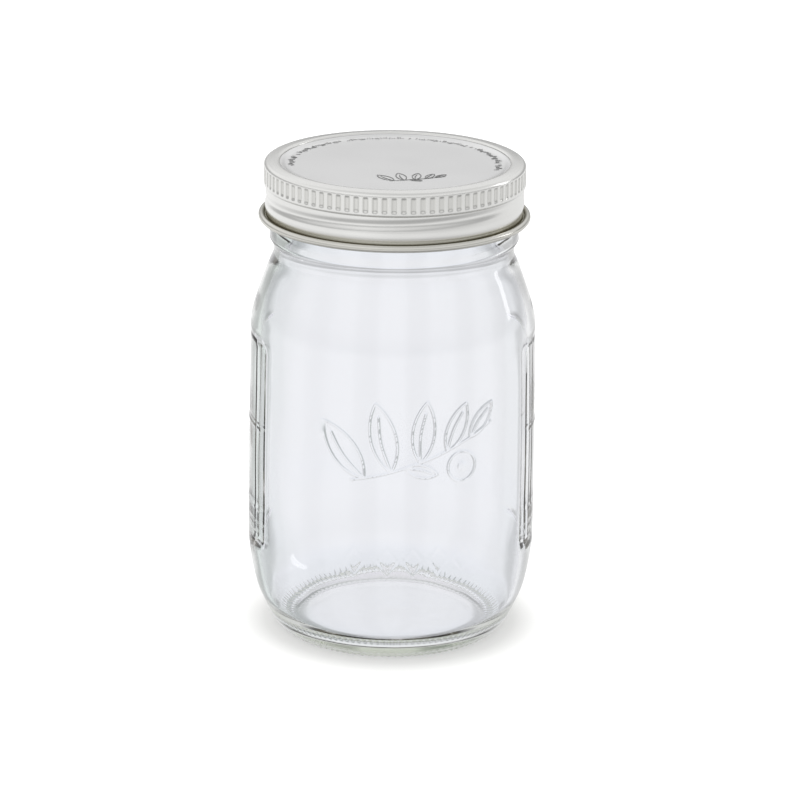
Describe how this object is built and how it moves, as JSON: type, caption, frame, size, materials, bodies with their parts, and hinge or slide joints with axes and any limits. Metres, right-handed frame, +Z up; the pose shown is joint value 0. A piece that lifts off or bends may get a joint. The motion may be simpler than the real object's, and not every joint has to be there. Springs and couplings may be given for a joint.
{
  "type": "mason jar",
  "caption": "Pint glass canning jar with a threaded finish, a flat metal lid disc with its sealing ring, and a knurled metal screw band.",
  "frame": {"origin": "centre of the bearing ring that the jar stands on", "axes": "+Z up along the axis of the jar and of its closure; the front, with the embossed ornament, faces -Y and is turned a few degrees towards +X"},
  "size_m": [0.0792, 0.0792, 0.1321],
  "materials": {
    "clear_glass": "clear soda-lime glass, fire-polished, with a faint green cast in its thick edges",
    "lid_metal": "lacquered tinplate, fine matte grain",
    "sealing_compound": "flowed-in soft sealing compound, satin",
    "band_metal": "bright tinplate, satin, with fine drawing lines round it"
  },
  "bodies": {
    "jar": {"glass_jar": "clear_glass"},
    "lid": {"lid_disc": "lid_metal", "sealing_gasket": "sealing_compound"},
    "band": {"screw_band": "band_metal"}
  },
  "joints": [
    {"name": "lid_rise", "type": "slide", "parent": "jar", "child": "lid", "axis": [0, 0, 1], "range_m": [0, 0.01778]},
    {"name": "band_turn", "type": "hinge", "parent": "lid", "child": "band", "pos_m": [0, 0, 0.1321], "axis": [0, 0, 1], "range_deg": [0, 1260]}
  ],
  "couplings": [
    {"joint": "lid_rise", "follows": "band_turn", "m_per_rad": 0.00080851}
  ]
}
